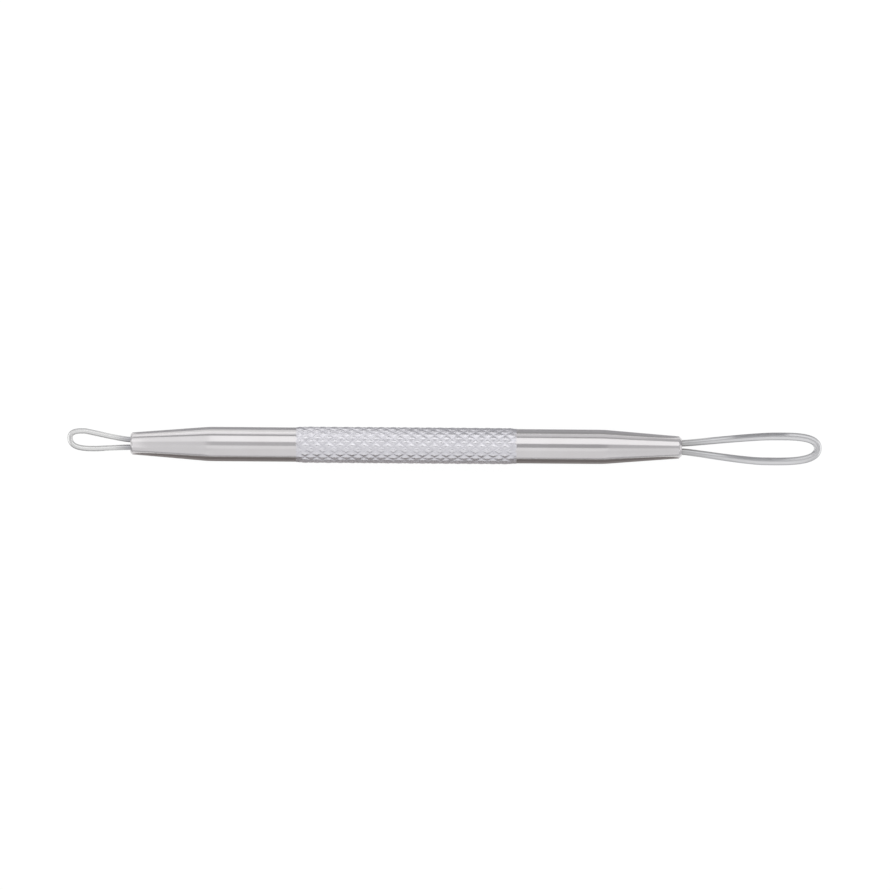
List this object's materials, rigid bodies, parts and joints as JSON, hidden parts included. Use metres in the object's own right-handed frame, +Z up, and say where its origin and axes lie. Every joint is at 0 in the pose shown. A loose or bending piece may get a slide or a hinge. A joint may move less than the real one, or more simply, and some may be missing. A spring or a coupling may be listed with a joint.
{
  "type": "blackhead extractor",
  "caption": "Slim double-ended blackhead extractor: a knurled steel bar with tapered noses, a small wire loop at one end and a long one at the other.",
  "frame": {"origin": "under the middle of the whole tool, on the surface that it lies on", "axes": "+X along the bar towards the large loop, +Y across in the plane of both loops, +Z up, away from the surface"},
  "size_m": [0.1206, 0.0058, 0.0058],
  "materials": {
    "bar_steel": "satin turned stainless steel, bright on the bands and noses, finely rolled on the knurl",
    "wire_steel": "satin drawn stainless wire, pressed flatter at the large loop's head",
    "braze_metal": "dull brazing metal, inside the sockets"
  },
  "bodies": {
    "root": {"handle": "bar_steel", "small_loop": "wire_steel", "large_loop": "wire_steel", "small_braze": "braze_metal", "large_braze": "braze_metal"}
  },
  "joints": []
}
